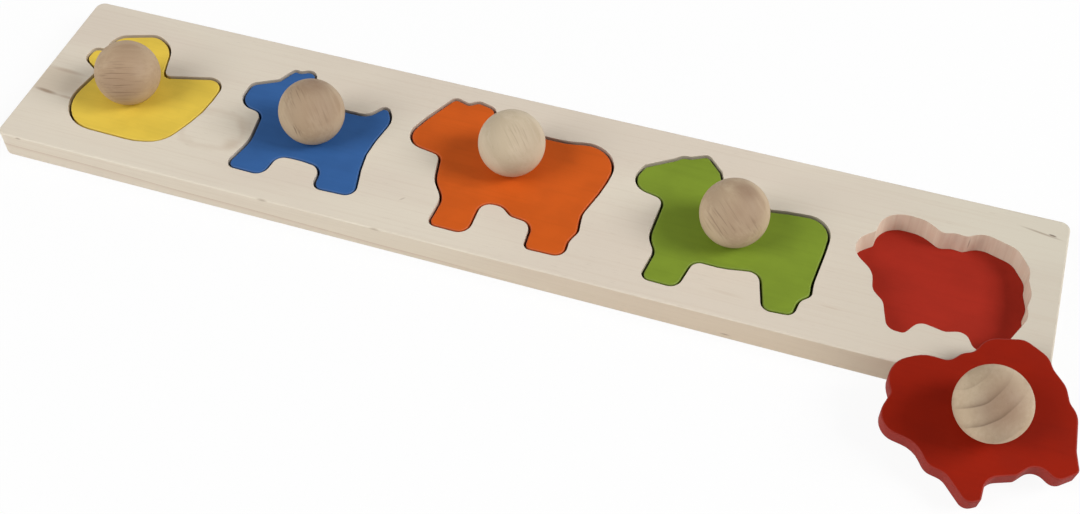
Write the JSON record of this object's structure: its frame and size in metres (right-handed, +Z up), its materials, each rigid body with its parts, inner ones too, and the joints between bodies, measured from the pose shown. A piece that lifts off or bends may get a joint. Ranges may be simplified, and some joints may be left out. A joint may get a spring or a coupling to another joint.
{
  "type": "lift-out puzzle",
  "caption": "Wooden toddler puzzle: a long pale board with animal-shaped openings, painted animals that lift out by bare ball knobs, and a red sheep leaning on the front edge.",
  "frame": {"origin": "Middle of the base panel's flat underside, on the table.", "axes": "+X runs along the board from the duck to the sheep's place, +Y from the front edge to the back edge, +Z up out of the openings."},
  "size_m": [0.5722, 0.1728, 0.0553],
  "materials": {
    "bare_wood": "sanded, unvarnished pale hardwood",
    "beech": "turned and sanded beech, unvarnished",
    "yellow_paint": "satin yellow paint on wood",
    "blue_paint": "satin blue paint on wood",
    "orange_paint": "satin orange paint on wood",
    "green_paint": "satin green paint on wood",
    "red_paint": "satin red paint on wood"
  },
  "bodies": {
    "board": {"frame_board": "bare_wood", "base_panel": "bare_wood", "duck_floor": "yellow_paint", "dog_floor": "blue_paint", "bear_floor": "orange_paint", "pony_floor": "green_paint", "sheep_floor": "red_paint"},
    "duck": {"duck_plate": "yellow_paint", "duck_dowel": "beech", "duck_knob": "beech"},
    "dog": {"dog_plate": "blue_paint", "dog_dowel": "beech", "dog_knob": "beech"},
    "bear": {"bear_plate": "orange_paint", "bear_dowel": "beech", "bear_knob": "beech"},
    "pony": {"pony_plate": "green_paint", "pony_dowel": "beech", "pony_knob": "beech"},
    "sheep": {"sheep_plate": "red_paint", "sheep_dowel": "beech", "sheep_knob": "beech"}
  },
  "joints": [
    {"name": "duck_lift", "type": "slide", "parent": "board", "child": "duck", "axis": [0, 0, 1], "range_m": [0, 0.08]},
    {"name": "dog_lift", "type": "slide", "parent": "board", "child": "dog", "axis": [0, 0, 1], "range_m": [0, 0.08]},
    {"name": "bear_lift", "type": "slide", "parent": "board", "child": "bear", "axis": [0, 0, 1], "range_m": [0, 0.08]},
    {"name": "pony_lift", "type": "slide", "parent": "board", "child": "pony", "axis": [0, 0, 1], "range_m": [0, 0.08]},
    {"name": "sheep_lift", "type": "slide", "parent": "board", "child": "sheep", "axis": [0, 0, 1], "range_m": [0, 0.08]}
  ]
}
